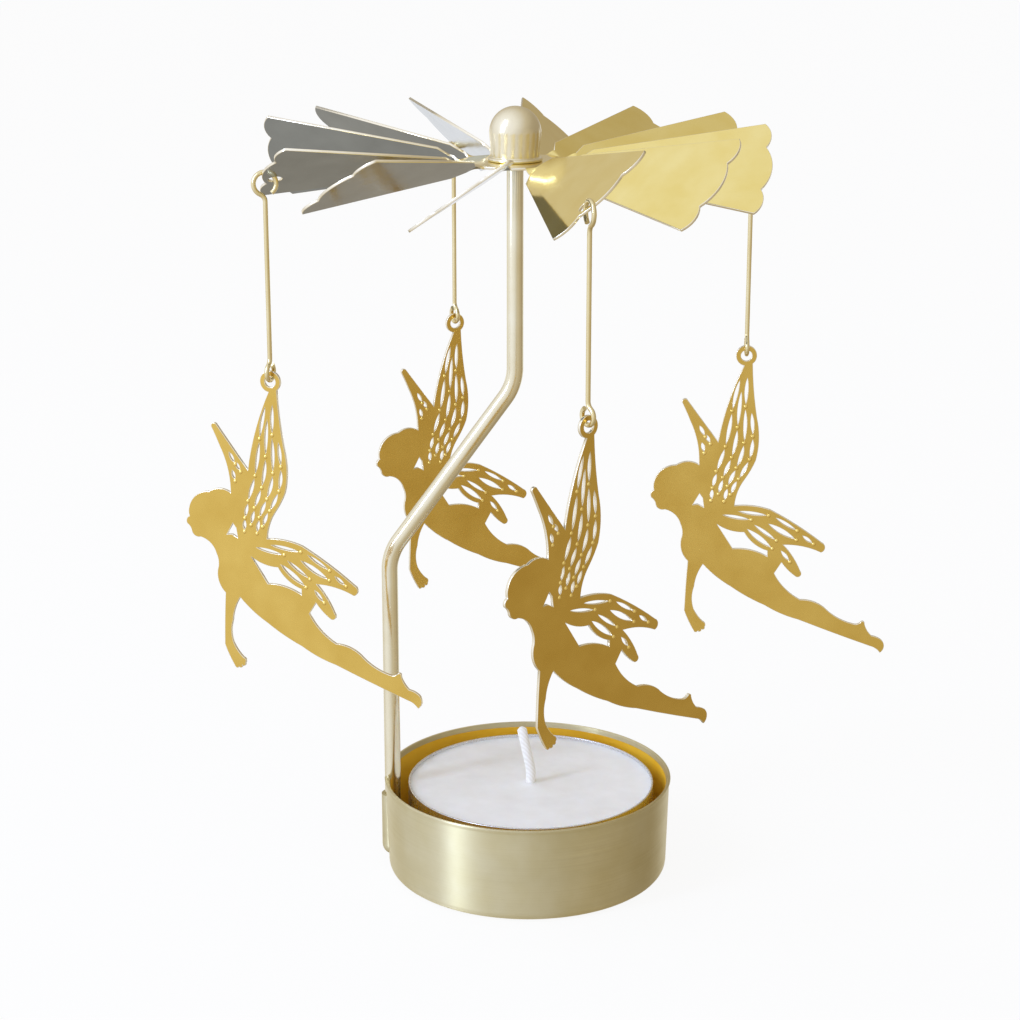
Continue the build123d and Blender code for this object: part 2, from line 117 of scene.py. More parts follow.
CAP_WAIST_ROUND = 0.12
CAP_FLANGE_DIA = 8.0
CAP_FLANGE = 0.55
CAP_SKIRT_DIA = 6.0
CAP_CLINCH_DIA = 7.2
CAP_CLINCH = 0.4
CLINCH_ROUND_SHARE = 0.3
WIRE_DIA = 0.7
HANG_EVERY = 3
HANG_HOLE_DIA = 2.0
HANG_HOLE_INSET = 2.2
HANG_HOLE_SIDE = 2.3
HANGER_LENGTH = 27.3
UPPER_EYE_RADIUS = 1.65
LOWER_EYE_RADIUS = 1.2
EYE_LEAD_RADIUS = 1.2
EYE_TAIL_ANGLE = 235.0
FAIRY_NAMES = ("right", "back", "left", "front")
FAIRY_SHEET = 0.5
EDGE_ROUND = 0.07
EDGE_ROUND_SHARE = 0.4
BEAD_RADIUS = 0.32
BEAD_HEIGHT = 0.14
BEAD_GAP = 0.06

# Fineness of the meshes: faces round a form, angles in degrees, and limits.
TURNED_SEGMENTS = 144
CUP_SEGMENTS = 192
POCKET_SEGMENTS = 48
CAP_SEGMENTS = 96
BEAD_SEGMENTS = 12
ROD_SIDES = 48
WICK_SIDES = 24
WIRE_SIDES = 16
SHARP_ANGLE = 30
SOFT_ANGLE = 60
MITRE_LIMIT = 0.3
SHORTEST_EDGE = 0.002
TINY = 1e-6
SAME_WAY = 0.999
FACING_UP = 0.5
CUT_BEYOND = 1

# Material slots of a sheet.
TOP, UNDERSIDE, EDGE, BEAD = range(4)

SPIN = Vector(joints["wheel_spin"]["pos_m"]) / MM


def linked(name, data):
    """Object for a mesh or other data, in the scene."""
    thing = bpy.data.objects.new(name, data)
    scene.collection.objects.link(thing)
    return thing


def in_metres(name, shape):
    """Mesh in metres from a bmesh in millimetres."""
    bmesh.ops.scale(shape, vec=(MM, MM, MM), verts=shape.verts)
    mesh = bpy.data.meshes.new(name)
    shape.to_mesh(mesh)
    shape.free()
    return mesh


def smoothed(mesh, sharp=SHARP_ANGLE):
    """Mesh shaded smooth, except at edges sharper than an angle."""
    mesh.shade_smooth()
    mesh.set_sharp_from_angle(angle=radians(sharp))
    return mesh


def as_mesh(name, shape, sharp=SHARP_ANGLE):
    """Smooth mesh in metres from a bmesh in millimetres, with its faces turned outwards."""
    bmesh.ops.recalc_face_normals(shape, faces=shape.faces)
    return smoothed(in_metres(name, shape), sharp)


def solid(name, shape):
    """Object in the scene from a bmesh in millimetres."""
    return linked(name, as_mesh(name, shape))


def rounded(points, steps=6):
    """Polyline through flat points, each corner rounded by the radius that is its third number."""
    path = []
    for place, (x, y, radius) in enumerate(points):
        here = Vector((x, y))
        if radius == 0:
            path.append(here)
            continue
        back = (Vector(points[place - 1][:2]) - here).normalized()
        ahead = (Vector(points[place + 1][:2]) - here).normalized()
        half = back.angle(ahead) / 2
        centre = here + (back + ahead).normalized() * (radius / sin(half))
        first = here + back * (radius / tan(half)) - centre
        sweep = pi - 2 * half
        sign = 1 if back.cross(ahead) < 0 else -1
        for step in range(steps + 1):
            path.append(centre + Matrix.Rotation(sign * sweep * step / steps, 2) @ first)
    return path


def quarter(steps):
    """Angles of a quarter turn, from 0 to a right angle."""
    return [pi / 2 * step / steps for step in range(steps + 1)]


def lathe(profile, centre=(0, 0), segments=TURNED_SEGMENTS):
    """Turned solid: a profile of radius and height, open or ending on its axis, about a vertical axis."""
    shape = bmesh.new()
    rings = []
    for radius, height in profile:
        count = 1 if radius < TINY else segments
        ring = []
        for step in range(count):
            angle = 2 * pi * step / segments
            x, y = centre[0] + radius * cos(angle), centre[1] + radius * sin(angle)
            ring.append(shape.verts.new((x, y, height)))
        rings.append(ring)
    for low, high in zip(rings, rings[1:]):
        for step in range(segments):
            corners = [low[step % len(low)], low[(step + 1) % len(low)]]
            corners += [high[(step + 1) % len(high)], high[step % len(high)]]
            shape.faces.new(list(dict.fromkeys(corners)))
    return shape


def tube(path, radii, sides):
    """Round bar along a path of points, with a radius at each and flat ends."""
    shape = bmesh.new()
    across = Vector((0, 1, 0))
    rings = []
    for place, point in enumerate(path):
        ahead = path[min(place + 1, len(path) - 1)] - path[max(place - 1, 0)]
        ahead.normalize()
        across = (across - ahead * across.dot(ahead)).normalized()
        side = ahead.cross(across)
        ring = []
        for step in range(sides):
            angle = 2 * pi * step / sides
            ring.append(shape.verts.new(point + (across * cos(angle) + side * sin(angle)) * radii[place]))
        rings.append(ring)
    for low, high in zip(rings, rings[1:]):
        for step in range(sides):
            after = (step + 1) % sides
            shape.faces.new((low[step], low[after], high[after], high[step]))
    shape.faces.new(rings[0])
    shape.faces.new(rings[-1])
    return shape


def shifted(loop, distance):
    """Closed loop moved to its left by a distance, with mitred corners."""
    moved = []
    for place, point in enumerate(loop):
        back = (point - loop[place - 1]).normalized().orthogonal()
        ahead = (loop[(place + 1) % len(loop)] - point).normalized().orthogonal()
        moved.append(point + (back + ahead) * (distance / max(1 + back.dot(ahead), MITRE_LIMIT)))
    return moved


def turned_left(loop):
    """Closed loop without repeated points, running anticlockwise."""
    loop = [Vector(point) for point in loop]
    points = []
    for place, point in enumerate(loop):
        if (point - loop[place - 1]).length > SHORTEST_EDGE:
            points.append(point)
    area = sum(points[place - 1].cross(point) for place, point in enumerate(points))
    return points if area > 0 else points[::-1]


def plate(outline, holes, thickness):
    """Flat sheet in the XY plane, in millimetres, with rounded edges; slots: top, underside, edge."""
    loops = [turned_left(outline)] + [turned_left(hole)[::-1] for hole in holes]
    edge = []
    for angle in (0, pi / 4, pi / 2):
        edge.append((EDGE_ROUND * (1 - sin(angle)), thickness / 2 - EDGE_ROUND * (1 - cos(angle))))
    edge += [(inset, -height) for inset, height in edge[::-1]]
    shape = bmesh.new()
    corners, faces = [], []
    top, bottom = [], []
    for loop in loops:
        rings = []
        for inset, height in edge:
            rings.append([shape.verts.new((*point, height)) for point in shifted(loop, inset)])
        for high, low in zip(rings, rings[1:]):
            for place in range(len(loop)):
                wall = shape.faces.new((high[place - 1], low[place - 1], low[place], high[place]))
                wall.material_index = EDGE
                wall.smooth = True
        numbers = list(range(len(corners), len(corners) + len(loop)))
        faces.append(numbers[::-1] if faces else numbers)
        corners += [vertex.co.xy for vertex in rings[0]]
        top += rings[0]
        bottom += rings[-1]
    inside_only = 1
    _, _, triangles, sources, _, owners = delaunay_2d_cdt(corners, [], faces, inside_only, TINY)
    for triangle, owner in zip(triangles, owners):
        if owner == [0]:
            places = [sources[vertex][0] for vertex in triangle]
            shape.faces.new([top[place] for place in places])
            under = shape.faces.new([bottom[place] for place in places[::-1]])
            under.material_index = UNDERSIDE
    return shape


def joined(shapes):
    """One bmesh of several."""
    whole = bmesh.new()
    for shape in shapes:
        mesh = bpy.data.meshes.new("join")
        shape.to_mesh(mesh)
        shape.free()
        whole.from_mesh(mesh)
        bpy.data.meshes.remove(mesh)
    return whole


def combined(target, tool, operation):
    """Target with a tool solid cut away or added."""
    cut = target.modifiers.new("cut", "BOOLEAN")
    cut.operation = operation
    cut.solver = "EXACT"
    cut.object = tool
    mesh = bpy.data.meshes.new_from_object(target.evaluated_get(bpy.context.evaluated_depsgraph_get()))
    target.modifiers.clear()
    target.data = mesh
    bpy.data.objects.remove(tool)


def piece(name, mesh, body, node, materials):
    """Finished piece on its body, in place of its CAD node."""
    thing = mesh if isinstance(mesh, bpy.types.Object) else linked(name, mesh)
    thing.name = name
    for material in materials:
        thing.data.materials.append(material)
    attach(thing, body)
    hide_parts(node)
    return thing


# Materials

NOISE_DETAIL = 4.0
NOISE_RANGE = (0.3, 0.7)
PATCH_SCALE = 180.0
GLOSS_RANGE = (0.8, 1.2)
GRAIN_STRENGTH = 0.5
BRUSHED = (0.04, 0.04, 9)


def new_material(name):
    """Node material, its shader and its node tree."""
    material = bpy.data.materials.new(name)
    material.use_nodes = True
    tree = material.node_tree
    return material, tree.nodes["Principled BSDF"], tree


def add_node(tree, kind, **settings):
    """Node of a kind, with its settings; a name that is an input sets that input."""
    node = tree.nodes.new(kind)
    for key, value in settings.items():
        if hasattr(node, key):
            setattr(node, key, value)
        else:
            node.inputs[key.replace("_", " ").title()].default_value = value
    return node


def noise(tree, scale, stretch=(1, 1, 1)):
    """Noise at a scale per metre, stretched along the object's own axes."""
    place = add_node(tree, "ShaderNodeTexCoord")
    mapping = add_node(tree, "ShaderNodeMapping")
    mapping.inputs["Scale"].default_value = stretch
    texture = add_node(tree, "ShaderNodeTexNoise", scale=scale, detail=NOISE_DETAIL)
    tree.links.new(place.outputs["Object"], mapping.inputs["Vector"])
    tree.links.new(mapping.outputs["Vector"], texture.inputs["Vector"])
    return texture.outputs["Fac"]


def ramp(tree, factor, stops):
    """Factor turned into a colour by stops, each a place from 0 to 1 and its colour."""
    node = add_node(tree, "ShaderNodeValToRGB")
    elements = node.color_ramp.elements
    while len(elements) < len(stops):
        elements.new(1.0)
    for element, (place, colour) in zip(elements, stops):
        element.position = place
        element.color = (*colour, 1)
    tree.links.new(factor, node.inputs["Fac"])
    return node.outputs["Color"]


def mottled(tree, scale, dark, light):
    """Colour that wavers between two by a noise at a scale per metre."""
    return ramp(tree, noise(tree, scale), tuple(zip(NOISE_RANGE, (dark, light))))


def spread(tree, factor, low, high):
    """Noise spread between two numbers."""
    node = add_node(tree, "ShaderNodeMapRange")
    node.inputs["From Min"].default_value = NOISE_RANGE[0]
    node.inputs["From Max"].default_value = NOISE_RANGE[1]
    node.inputs["To Min"].default_value = low
    node.inputs["To Max"].default_value = high
    tree.links.new(factor, node.inputs["Value"])
    return node.outputs["Result"]


def calculated(tree, operation, *values):
    """Result of an operation on numbers and outputs of other nodes."""
    node = add_node(tree, "ShaderNodeMath", operation=operation)
    for place, value in enumerate(values):
        if isinstance(value, bpy.types.NodeSocket):
            tree.links.new(value, node.inputs[place])
        else:
            node.inputs[place].default_value = value
    return node.outputs["Value"]


def faded(tree, value, start, end):
    """Number that rises smoothly from 0 to 1 while a value goes from a start to an end."""
    node = add_node(tree, "ShaderNodeMapRange", interpolation_type="SMOOTHSTEP")
    node.inputs["From Min"].default_value = start
    node.inputs["From Max"].default_value = end
    tree.links.new(value, node.inputs["Value"])
    return node.outputs["Result"]


def blended(tree, factor, first, second, output):
    """Two shaders mixed by a factor, on the surface of an output node."""
    node = add_node(tree, "ShaderNodeMixShader")
    tree.links.new(factor, node.inputs["Fac"])
    tree.links.new(first, node.inputs[1])
    tree.links.new(second, node.inputs[2])
    tree.links.new(node.outputs["Shader"], tree.nodes[output].inputs["Surface"])


def bumped(tree, shader, height, strength, distance):
    """Bump of a height map on the shader."""
    node = add_node(tree, "ShaderNodeBump", strength=strength, distance=distance)
    tree.links.new(height, node.inputs["Height"])
    tree.links.new(node.outputs["Normal"], shader.inputs["Normal"])


def metal(name, light, dark, rough, grain, depth, stretch=(1, 1, 1)):
    """Metal of wavering colour and gloss, with a grain at a scale per metre and its depth in metres."""
    material, shader, tree = new_material(name)
    shader.inputs["Metallic"].default_value = 1.0
    tree.links.new(mottled(tree, PATCH_SCALE, dark, light), shader.inputs["Base Color"])
    fine = noise(tree, grain, stretch)
    gloss = [rough * share for share in GLOSS_RANGE]
    tree.links.new(spread(tree, fine, *gloss), shader.inputs["Roughness"])
    bumped(tree, shader, fine, GRAIN_STRENGTH, depth)
    return material


def brushed_round(material):
    """Brush marks that run round the Z axis draw highlights out along it."""
    tree = material.node_tree
    shader = tree.nodes["Principled BSDF"]
    tangent = add_node(tree, "ShaderNodeTangent", direction_type="RADIAL", axis="Z")
    tree.links.new(tangent.outputs["Tangent"], shader.inputs["Tangent"])
    shader.inputs["Anisotropic"].default_value = 0.96
    shader.inputs["Anisotropic Rotation"].default_value = 0.25


def linear(red, green, blue):
    """Linear colour from the 0 to 255 values of a display."""
    return tuple(((value / 255 + 0.055) / 1.055) ** 2.4 for value in (red, green, blue))


# Light and dark colour, roughness, grain per metre and depth of the grain in metres.
cup_gold = metal("cup_gold", linear(228, 219, 182), linear(221, 210, 166), 0.46, 900.0, 4e-6, BRUSHED)
brushed_round(cup_gold)
# Inside of the cup: the same gold sheet, given a saturated orange that is not metal; a painted reflection of
# the gold reflecting itself in the recess.
cup_inside_painted_reflection = metal("cup_inside_painted_reflection", linear(255, 206, 60), linear(252, 194, 42), 0.4, 900.0, 4e-6, BRUSHED)
cup_inside_painted_reflection.node_tree.nodes["Principled BSDF"].inputs["Metallic"].default_value = 0.0
rod_gold = metal("rod_gold", linear(238, 231, 204), linear(231, 220, 186), 0.2, 2500.0, 1e-6)
cap_gold = metal("cap_gold", linear(238, 230, 204), linear(231, 220, 186), 0.2, 2500.0, 1e-6)
wire_gold = metal("wire_gold", linear(236, 224, 180), linear(226, 208, 156), 0.2, 4000.0, 2e-6)
vane_gold = metal("vane_gold", linear(242, 224, 150), linear(236, 214, 130), 0.1, 160.0, 4e-5)
vane_steel = metal("vane_steel", linear(174, 183, 194), linear(162, 170, 180), 0.12, 160.0, 6e-5)
# Cut edges of the sheets: paler than the sheet's own gold, a painted highlight.
edge_painted_highlight = metal("edge_painted_highlight", linear(250, 244, 226), linear(242, 232, 204), 0.2, 4000.0, 1e-6)
fairy_gold = metal("fairy_gold", linear(222, 188, 97), linear(212, 176, 85), 0.3, 3000.0, 2e-6)
# Raised dots: brighter than the sheet they are stamped from, a painted highlight.
bead_painted_highlight = metal("bead_painted_highlight", linear(250, 224, 140), linear(242, 210, 116), 0.22, 4000.0, 1e-6)
foil = metal("tealight_foil", linear(226, 226, 226), linear(212, 212, 214), 0.28, 1500.0, 4e-6)
steel = metal("sustainer_steel", linear(178, 178, 178), linear(160, 160, 162), 0.35, 1500.0, 4e-6)


def wax_material():
    """Pale wax that light enters a little, with a faintly uneven skin."""
    material, shader, tree = new_material("wax")
    colour = mottled(tree, 260.0, linear(240, 238, 234), linear(248, 247, 244))
    tree.links.new(colour, shader.inputs["Base Color"])
    shader.inputs["Subsurface Weight"].default_value = 0.35
    shader.inputs["Subsurface Radius"].default_value = (1.0, 0.8, 0.6)
    shader.inputs["Subsurface Scale"].default_value = 0.002
    shader.inputs["Roughness"].default_value = 0.42
    bumped(tree, shader, noise(tree, 420.0), strength=0.25, distance=2e-4)
    return material


def cotton_material():
    """Waxed cotton with a fine braid round the wick."""
    material, shader, tree = new_material("wick_cotton")
    place = add_node(tree, "ShaderNodeTexCoord")
    braid = add_node(tree, "ShaderNodeTexWave", scale=900.0, distortion=3.0)
    braid.bands_direction = "DIAGONAL"
    tree.links.new(place.outputs["Object"], braid.inputs["Vector"])
    threads = ((0.2, linear(241, 239, 233)), (0.8, linear(250, 249, 246)))
    tree.links.new(ramp(tree, braid.outputs["Fac"], threads), shader.inputs["Base Color"])
    shader.inputs["Roughness"].default_value = 0.7
    bumped(tree, shader, braid.outputs["Fac"], strength=0.3, distance=5e-5)
    return material


wax = wax_material()
cotton = cotton_material()


# Candle cup and rod

def cup_profile(inset):
    """Wall of the cup from the middle of its floor to its lip, as points with corner radii."""
    return [
        (0, inset, 0),
        (CUP_BASE_RADIUS - inset, inset, CUP_CORNER - inset),
        (CUP_RIM_RADIUS - inset, CUP_HEIGHT - LIP_HEIGHT, LIP_HEIGHT / 2),
        (CUP_RIM_RADIUS - inset + LIP_FLARE, CUP_HEIGHT, CUP_SHEET * EDGE_ROUND_SHARE),
    ]


def candle_cup():
    """Drawn cup with rounded corners and lip, and the pressed pocket and rim notch for the rod."""
    outside = cup_profile(0)
    inside = cup_profile(CUP_SHEET)[::-1]
    shell_shape = lathe(rounded(outside + inside), segments=CUP_SEGMENTS)
    shell = linked("candle_cup_shell", as_mesh("cup", shell_shape))
    seat_r = ROD_DIA / 2 + ROD_FIT
    pocket_r = seat_r + CUP_SHEET
    pocket_top = CUP_HEIGHT - POCKET_BELOW_RIM
    dome = [(pocket_r * sin(angle), ROD_FOOT - pocket_r * cos(angle)) for angle in quarter(steps=8)]
    pocket_profile = dome + [(pocket_r, pocket_top), (0, pocket_top)]
    pocket = solid("pocket", lathe(pocket_profile, (ROD_X, 0), POCKET_SEGMENTS))
    top = [(CUP_RIM_RADIUS, CUP_HEIGHT, 0), (0, CUP_HEIGHT, 0)]
    room_profile = rounded(cup_profile(CUP_SHEET)[:-1] + top)
    combined(pocket, solid("room", lathe(room_profile, segments=CUP_SEGMENTS)), "DIFFERENCE")
    combined(shell, pocket, "UNION")
    bore_top = CUP_HEIGHT + CUT_BEYOND
    bore = [(0, ROD_FOOT), (seat_r, ROD_FOOT), (seat_r, bore_top), (0, bore_top)]
    combined(shell, solid("seat", lathe(bore, (ROD_X, 0), POCKET_SEGMENTS)), "DIFFERENCE")
    slit = bmesh.new()
    bmesh.ops.create_cube(slit, size=1.0)
    bmesh.ops.scale(slit, vec=(2 * pocket_r, 2 * seat_r, 2 * POCKET_BELOW_RIM), verts=slit.verts)
    bmesh.ops.translate(slit, vec=(ROD_X - pocket_r, 0, CUP_HEIGHT), verts=slit.verts)
    combined(shell, solid("slit", slit), "DIFFERENCE")
    tidied = bmesh.new()
    tidied.from_mesh(shell.data)
    bmesh.ops.dissolve_degenerate(tidied, edges=tidied.edges, dist=TINY)
    tidied.to_mesh(shell.data)
    tidied.free()
    smoothed(shell.data)
    wall_r = (CUP_BASE_RADIUS - CUP_SHEET / 2) * MM
    materials = [cup_gold, cup_inside_painted_reflection]
    # Faces inside the cup take the painted reflection colour.
    for face in shell.data.polygons:
        inward = face.normal.xy.dot(face.center.xy) < 0 or face.normal.z > FACING_UP
        if inward and face.center.xy.length < wall_r:
            face.material_index = materials.index(cup_inside_painted_reflection)
    piece("candle_cup_shell", shell, "stand", "candle_cup", materials)


def stand_rod():
    """Bent rod with a turned point under the cap."""
    point_z = SPIN.z - ROD_POINT_LENGTH
    route = [
        (ROD_X, ROD_FOOT, 0),
        (ROD_X, ROD_LOW_BEND, ROD_BEND_RADIUS),
        (SPIN.x, ROD_HIGH_BEND, ROD_BEND_RADIUS),
        (SPIN.x, point_z, 0),
        (SPIN.x, SPIN.z, 0),
    ]
    path = [Vector((x, 0, z)) for x, z in rounded(route, steps=20)]
    radii = [ROD_DIA / 2] * (len(path) - 1) + [ROD_POINT_DIA / 2]
    mesh = as_mesh("rod", tube(path, radii, ROD_SIDES))
    piece("stand_rod_polished", mesh, "stand", "stand_rod", [rod_gold])


# Tealight

tealight_low, tealight_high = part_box("tealight_cup")
tealight_axis = tuple((tealight_low + tealight_high).xy / 2 / MM)
tealight_floor = tealight_low.z / MM
wax_top = tealight_high.z / MM - WAX_BELOW_RIM


def tealight_cup():
    """Pressed foil cup with a folded rim."""
    radius = TEALIGHT_DIA / 2
    sheet = TEALIGHT_SHEET
    top = tealight_floor + TEALIGHT_HEIGHT
    profile = [
        (0, tealight_floor, 0),
        (radius, tealight_floor, TEALIGHT_BASE_CORNER),
        (radius, top, sheet * EDGE_ROUND_SHARE),
        (radius - sheet, top, sheet * EDGE_ROUND_SHARE),
        (radius - sheet, tealight_floor + sheet, TEALIGHT_BASE_CORNER - sheet),
        (0, tealight_floor + sheet, 0),
    ]
    shape = lathe(rounded(profile), tealight_axis)
    piece("tealight_foil_cup", as_mesh("foil", shape), "tealight", "tealight_cup", [foil])


def tealight_wax():
    """Wax that climbs a little at the foil and at the wick."""
    radius = TEALIGHT_DIA / 2 - TEALIGHT_SHEET
    rise = WAX_BELOW_RIM * WAX_RISE_SHARE
    floor = tealight_floor + TEALIGHT_SHEET
    skin = []
    rings = 48
    for step in range(rings + 1):
        r = radius * (1 - step / rings)
        at_foil = rise * 0.5 ** ((radius - r) / WAX_FOIL_CLIMB)
        at_wick = rise * 0.5 ** (max(r - WICK_DIA / 2, 0) / WAX_WICK_CLIMB)
        skin.append((r, wax_top - rise + (at_foil + at_wick)))
    base = [(0, floor), (radius - TEALIGHT_BASE_CORNER, floor), (radius, floor + TEALIGHT_BASE_CORNER)]
    shape = lathe(base + skin, tealight_axis)
    piece("tealight_wax_fill", as_mesh("wax", shape, SOFT_ANGLE), "tealight", "tealight_wax", [wax])


def wick():
    """Wick along its CAD node, round at its end."""
    low, high = (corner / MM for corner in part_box("wick"))
    lean = low.x + WICK_DIA / 2
    route = [
        (tealight_axis[0], low.z, 0),
        (tealight_axis[0], wax_top + WICK_BEND_HEIGHT, WICK_BEND_RADIUS),
        (lean, high.z - WICK_DIA * WICK_END_SHARE, 0),
    ]
    path = [Vector((x, 0, z)) for x, z in rounded(route, steps=12)]
    radii = [WICK_DIA / 2] * len(path)
    ahead = (path[-1] - path[-2]).normalized()
    for share in WICK_END_STEPS:
        path.append(path[-1] + ahead * (share * WICK_DIA / 2))
        radii.append(WICK_DIA / 2 * sqrt(1 - (share * WICK_END_ROUND) ** 2))
    mesh = as_mesh("wick", tube(path, radii, WICK_SIDES), SOFT_ANGLE)
    piece("wick_braid", mesh, "tealight", "wick", [cotton])


def wick_sustainer():
    """Steel on the sustainer's own CAD node, which is inside the wax."""
    sheet = frame["nodes"]["wick_sustainer"].data
    sheet.materials.clear()
    sheet.materials.append(steel)


# Vane wheel and cap

def arc(start, middle, end, steps=8):
    """Points on the circle through three points, from the first up to the last."""
    a, b, c = Vector(start), Vector(middle), Vector(end)
    turn = 2 * (a.x * (b.y - c.y) + b.x * (c.y - a.y) + c.x * (a.y - b.y))
    squares = [point.length_squared for point in (a, b, c)]
    x = squares[0] * (b.y - c.y) + squares[1] * (c.y - a.y) + squares[2] * (a.y - b.y)
    y = squares[0] * (c.x - b.x) + squares[1] * (a.x - c.x) + squares[2] * (b.x - a.x)
    centre = Vector((x / turn, y / turn))
    first, last = a - centre, c - centre
    sweep = first.angle_signed(last)
    if (first.angle_signed(b - centre) > 0) != (sweep > 0):
        sweep -= 2 * pi * (1 if sweep > 0 else -1)
    return [centre + Matrix.Rotation(-sweep * step / steps, 2) @ first for step in range(steps)]


def vane_outline():
    """Outline of a flat vane along +X: neck end, radial sides and a tip of three scallops."""
    slope = radians(VANE_ANGLE / 2)
    shoulder_r = VANE_ROOT_RADIUS + VANE_SHOULDER
    corner_r = VANE_TIP_RADIUS - CORNER_DROP
    corner_y = corner_r * sin(slope)
    notch = Vector((VANE_TIP_RADIUS - SCALLOP_DEPTH, corner_y * SCALLOP_SHARE))
    lobe = Vector((VANE_TIP_RADIUS - SIDE_LOBE_DROP, (corner_y + notch.y) / 2))
    upper = [Vector((VANE_ROOT_RADIUS, NECK_WIDTH / 2)), Vector((shoulder_r, shoulder_r * sin(slope)))]
    upper += arc((corner_r, corner_y), lobe, notch)
    lower = [Vector((point.x, -point.y)) for point in upper]
    tip = arc(notch, (VANE_TIP_RADIUS, 0), (notch.x, -notch.y), steps=12)
    return upper + tip + [Vector((notch.x, -notch.y))] + lower[::-1]


def vane_neck(pitch):
    """Twisted strip from the flat hub to the pitched vane."""
    shape = bmesh.new()
    steps = 10
    start_r = HUB_DIA / 2 - EDGE_ROUND
    rings = []
    for step in range(steps + 1):
        share = step / steps
        x = start_r + (VANE_ROOT_RADIUS + EDGE_ROUND - start_r) * share
        turn = Matrix.Rotation(pitch * share * share * (3 - 2 * share), 3, "X")
        ring = []
        for y, z in ((1, 1), (-1, 1), (-1, -1), (1, -1)):
            corner = Vector((x, y * NECK_WIDTH / 2, z * WHEEL_SHEET / 2))
            ring.append(shape.verts.new(turn @ corner))
        rings.append(ring)
    sides = (TOP, EDGE, UNDERSIDE, EDGE)
    for low, high in zip(rings, rings[1:]):
        for side in range(4):
            face = shape.faces.new((low[side], low[(side + 1) % 4], high[(side + 1) % 4], high[side]))
            face.material_index = sides[side]
    shape.faces.new(rings[0][::-1])
    shape.faces.new(rings[-1])
    return shape


def circle(radius, centre=(0, 0), steps=32):
    """Points of a circle."""
    angles = [2 * pi * step / steps for step in range(steps)]
    return [Vector((centre[0] + radius * cos(angle), centre[1] + radius * sin(angle))) for angle in angles]


def vane_wheel():
    """Stamped wheel: hub disc, twisted necks and scalloped vanes, gilt above and bare below."""
    shapes = [plate(circle(HUB_DIA / 2, steps=96), [circle(CAP_SKIRT_DIA / 2, steps=64)], WHEEL_SHEET)]
    hang_hole = circle(HANG_HOLE_DIA / 2, (VANE_TIP_RADIUS - HANG_HOLE_INSET, -HANG_HOLE_SIDE))
    for index in range(VANE_COUNT):
        pitch = radians(VANE_PITCH + VANE_SETTING[index])
        turn = Matrix.Rotation(radians(VANE_FIRST_AZIMUTH + index * 360 / VANE_COUNT), 4, "Z")
        blade = plate(vane_outline(), [hang_hole] if index % HANG_EVERY == 0 else [], WHEEL_SHEET)
        blade.transform(turn @ Matrix.Rotation(pitch, 4, "X"))
        neck = vane_neck(pitch)
        neck.transform(turn)
        shapes += [blade, neck]
    whole = joined(shapes)
    whole.transform(Matrix.Translation((SPIN.x, SPIN.y, WHEEL_HEIGHT)))
    # The cut edges take the paler painted highlight.
    materials = [vane_gold, vane_steel, edge_painted_highlight]
    piece("vane_wheel_sheet", in_metres("wheel", whole), "wheel", "vane_wheel", materials)


def hub_cap():
    """Polished dome with a rounded bead on the hub."""
    half = WHEEL_SHEET / 2
    radius = CAP_DIA / 2
    top = half + CAP_HEIGHT
    dome_z = top - radius
    flange_r = CAP_FLANGE_DIA / 2
    clinch_r = CAP_CLINCH_DIA / 2
    bore_r = CAP_BORE_DIA / 2
    flange_round = CAP_FLANGE * EDGE_ROUND_SHARE
    clinch_round = CAP_CLINCH * CLINCH_ROUND_SHARE
    dome = [(radius * sin(angle), dome_z + radius * cos(angle)) for angle in quarter(steps=24)]
    below = [
        (radius, dome_z, 0),
        (CAP_WAIST_DIA / 2, half + CAP_FLANGE, CAP_WAIST_ROUND),
        (flange_r, half + CAP_FLANGE, flange_round),
        (flange_r, half, flange_round),
        (CAP_SKIRT_DIA / 2, half, 0),
        (CAP_SKIRT_DIA / 2, -half, 0),
        (clinch_r, -half, clinch_round),
        (clinch_r, -half - CAP_CLINCH, CAP_CLINCH * EDGE_ROUND_SHARE),
        (bore_r, -half - CAP_CLINCH, clinch_round),
        (bore_r, top - CAP_TOP - bore_r * CAP_BORE_CONE, 0),
        (0, top - CAP_TOP, 0),
    ]
    outline = dome + [tuple(point) for point in rounded(below)][1:]
    profile = [(r, z + WHEEL_HEIGHT) for r, z in outline]
    shape = lathe(profile, SPIN.xy, CAP_SEGMENTS)
    piece("hub_cap_dome", as_mesh("cap", shape), "wheel", "hub_cap", [cap_gold])


# Hangers and fairies

def eye_points(radius, sideways):
    """Path of a wire eye round the origin from its cut end to the straight wire below it."""
    rise = sqrt(radius**2 + 2 * radius * EYE_LEAD_RADIUS)
    join = degrees(atan2(-rise, EYE_LEAD_RADIUS))
    points = []
    steps = 40
    for step in range(steps):
        angle = radians(EYE_TAIL_ANGLE + (join - EYE_TAIL_ANGLE) * step / steps)
        points.append(sideways * (radius * cos(angle)) + Vector((0, 0, radius * sin(angle))))
    lead_steps = 8
    for step in range(lead_steps + 1):
        angle = radians(join + 180 - join * step / lead_steps)
        along = EYE_LEAD_RADIUS * (1 + cos(angle))
        points.append(sideways * along + Vector((0, 0, EYE_LEAD_RADIUS * sin(angle) - rise)))
    return points


def sheet_axes(node):
    """Unit vectors across a hung sheet, from its CAD node: along it and square to it."""
    largest = max(frame["nodes"][node].data.polygons, key=lambda face: face.area)
    square = largest.normal.copy()
    if square.y > 0:
        square.negate()
    return Vector((-square.y, square.x, 0)), square


